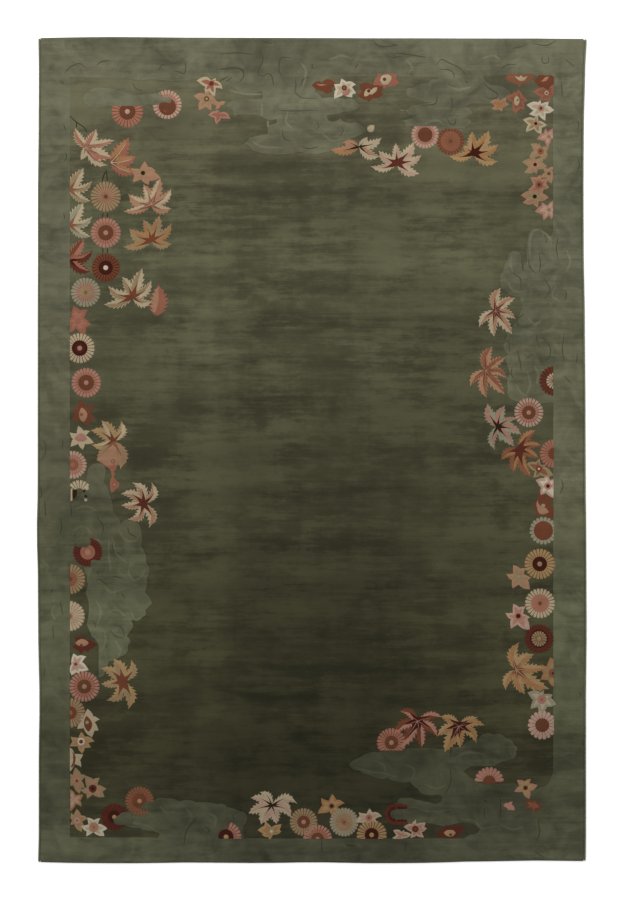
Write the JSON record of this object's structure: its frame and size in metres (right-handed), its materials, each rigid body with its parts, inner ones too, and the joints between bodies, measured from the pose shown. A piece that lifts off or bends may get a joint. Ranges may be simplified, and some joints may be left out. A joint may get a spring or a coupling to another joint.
{
  "type": "chinese art deco rug",
  "caption": "Hand-knotted wool pile rug lying flat, with narrow woven end webs, wool-overcast side cords and gently uneven edges; rests on a floor.",
  "frame": {"origin": "on the underside, under the middle of the rug's outer box", "axes": "+Z out of the pile, +Y along the rug towards its head end (the picture's top), +X across it to the picture's right"},
  "size_m": [2.44, 3.6688, 0.0136],
  "materials": {
    "pile_wool": "cut wool pile, matt with a soft sheen",
    "edge_wool": "wound wool yarn, matt"
  },
  "bodies": {
    "root": {"rug": "pile_wool", "side_cord_left": "edge_wool", "side_cord_right": "edge_wool"}
  },
  "joints": []
}
